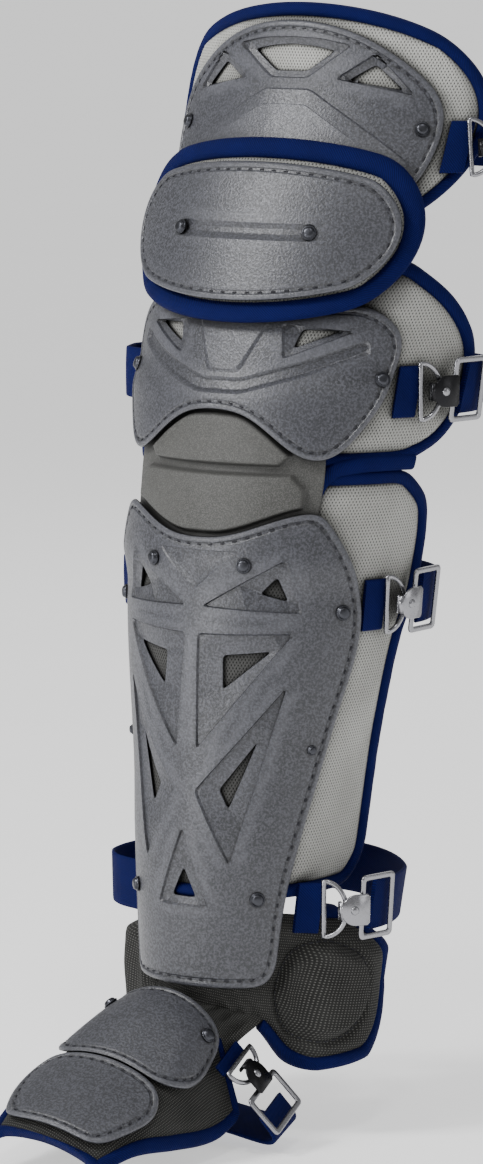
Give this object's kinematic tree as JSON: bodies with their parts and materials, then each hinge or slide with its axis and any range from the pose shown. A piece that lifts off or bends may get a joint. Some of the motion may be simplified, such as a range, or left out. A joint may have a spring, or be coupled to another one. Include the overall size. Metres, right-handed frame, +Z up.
{
  "type": "catcher leg guard",
  "caption": "Leg guard for a catcher: moulded plates on padded wings from thigh to ankle and a foot flap, open behind and closed by webbing straps with hook buckles.",
  "frame": {"origin": "on the shin pad's inner face at its middle line, where the guard rests on the leg below the knee", "axes": "+Z up along the leg, -Y forward out of the shin, +X to the side of the buckles"},
  "size_m": [0.2478, 0.3234, 0.6344],
  "materials": {
    "plate": "satin graphite, fine pebble grain",
    "mesh_cloth": "light grey knitted spacer mesh",
    "dark_cloth": "charcoal open weave",
    "blue_webbing": "navy twill binding and webbing",
    "foam": "grey moulded foam",
    "nickel": "bright nickel plate",
    "black_steel": "gloss black",
    "rivet": "dark satin"
  },
  "bodies": {
    "root": {"thigh_pad": "mesh_cloth", "thigh_binding": "blue_webbing", "thigh_plate": "plate", "thigh_rivet_left": "rivet", "thigh_rivet_right": "rivet", "knee_pad": "mesh_cloth", "knee_binding": "blue_webbing", "knee_plate": "plate", "knee_rivet_left": "rivet", "knee_rivet_right": "rivet", "lower_knee_pad": "mesh_cloth", "lower_knee_binding": "blue_webbing", "lower_knee_plate": "plate", "lower_knee_rivet_left": "rivet", "lower_knee_rivet_right": "rivet", "flex_foam": "foam", "shin_pad": "mesh_cloth", "shin_binding": "blue_webbing", "shin_plate": "plate", "shin_rivet_upper_left": "rivet", "shin_rivet_upper_right": "rivet", "shin_rivet_side_left": "rivet", "shin_rivet_side_right": "rivet", "shin_rivet_low_left": "rivet", "shin_rivet_low_right": "rivet", "ankle_pad": "dark_cloth", "ankle_binding_left": "blue_webbing", "ankle_binding_right": "blue_webbing", "thigh_tab": "blue_webbing", "thigh_strap": "blue_webbing", "thigh_ring": "nickel", "thigh_frame": "nickel", "thigh_leaf": "black_steel", "knee_tab": "blue_webbing", "knee_strap": "blue_webbing", "knee_ring": "nickel", "knee_frame": "nickel", "knee_leaf": "black_steel", "upper_shin_tab": "blue_webbing", "upper_shin_strap": "blue_webbing", "upper_shin_ring": "nickel", "upper_shin_frame": "nickel", "upper_shin_leaf": "nickel", "lower_shin_tab": "blue_webbing", "lower_shin_strap": "blue_webbing", "lower_shin_ring": "nickel", "lower_shin_frame": "nickel", "lower_shin_leaf": "nickel", "foot_pad": "dark_cloth", "foot_binding": "blue_webbing", "instep_plate": "plate", "toe_plate": "plate", "instep_rivet_left": "rivet", "instep_rivet_right": "rivet", "foot_tab": "blue_webbing", "foot_strap": "blue_webbing", "foot_ring": "nickel", "foot_frame": "nickel", "foot_leaf": "black_steel"}
  },
  "joints": []
}
